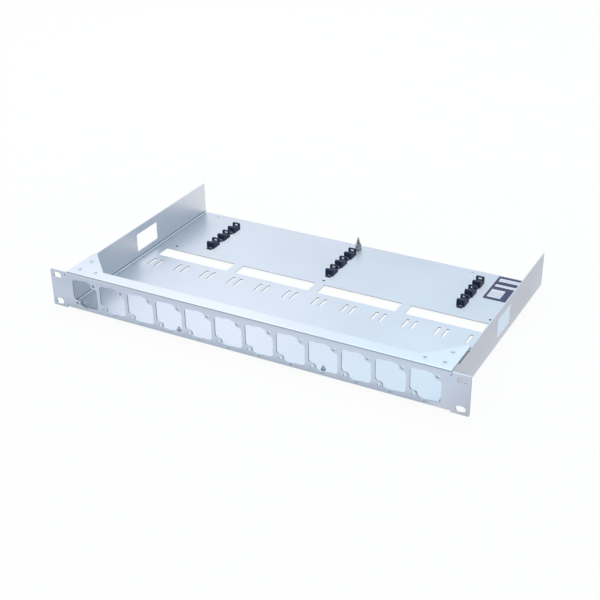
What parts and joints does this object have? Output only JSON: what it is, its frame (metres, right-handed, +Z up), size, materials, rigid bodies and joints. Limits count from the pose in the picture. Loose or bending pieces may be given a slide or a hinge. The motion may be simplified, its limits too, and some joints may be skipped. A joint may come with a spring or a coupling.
{
  "type": "subrack card cage",
  "caption": "One-unit rack cage for plug-in modules: a folded front panel with keyed openings, slotted ears and gussets, riveted to an open tray with cable clips and an earth stud.",
  "frame": {"origin": "middle of the four rack slots, on the panel's front face", "axes": "+X along the panel to the right ear seen from the front, +Y back into the rack, +Z up"},
  "size_m": [0.4826, 0.278, 0.0443],
  "materials": {
    "panel_steel": "satin, plated",
    "tray_steel": "satin, plated",
    "rivet_steel": "bright, plated",
    "clip_plastic": "moulded nylon",
    "fastener_steel": "bright, plated"
  },
  "bodies": {
    "root": {"front_panel": "panel_steel", "tray": "tray_steel", "gusset_rivet_left_1": "rivet_steel", "gusset_rivet_left_2": "rivet_steel", "gusset_rivet_left_3": "rivet_steel", "gusset_rivet_right_1": "rivet_steel", "gusset_rivet_right_2": "rivet_steel", "gusset_rivet_right_3": "rivet_steel", "floor_rivet_1": "rivet_steel", "floor_rivet_2": "rivet_steel", "floor_rivet_3": "rivet_steel", "floor_rivet_4": "rivet_steel", "cable_clip_1": "clip_plastic", "cable_clip_2": "clip_plastic", "cable_clip_3": "clip_plastic", "cable_clip_4": "clip_plastic", "cable_clip_5": "clip_plastic", "cable_clip_6": "clip_plastic", "cable_clip_7": "clip_plastic", "cable_clip_8": "clip_plastic", "cable_clip_9": "clip_plastic", "earth_stud": "fastener_steel", "earth_washer": "fastener_steel", "earth_lock_washer": "fastener_steel", "earth_nut_lower": "fastener_steel", "earth_nut_upper": "fastener_steel"}
  },
  "joints": []
}
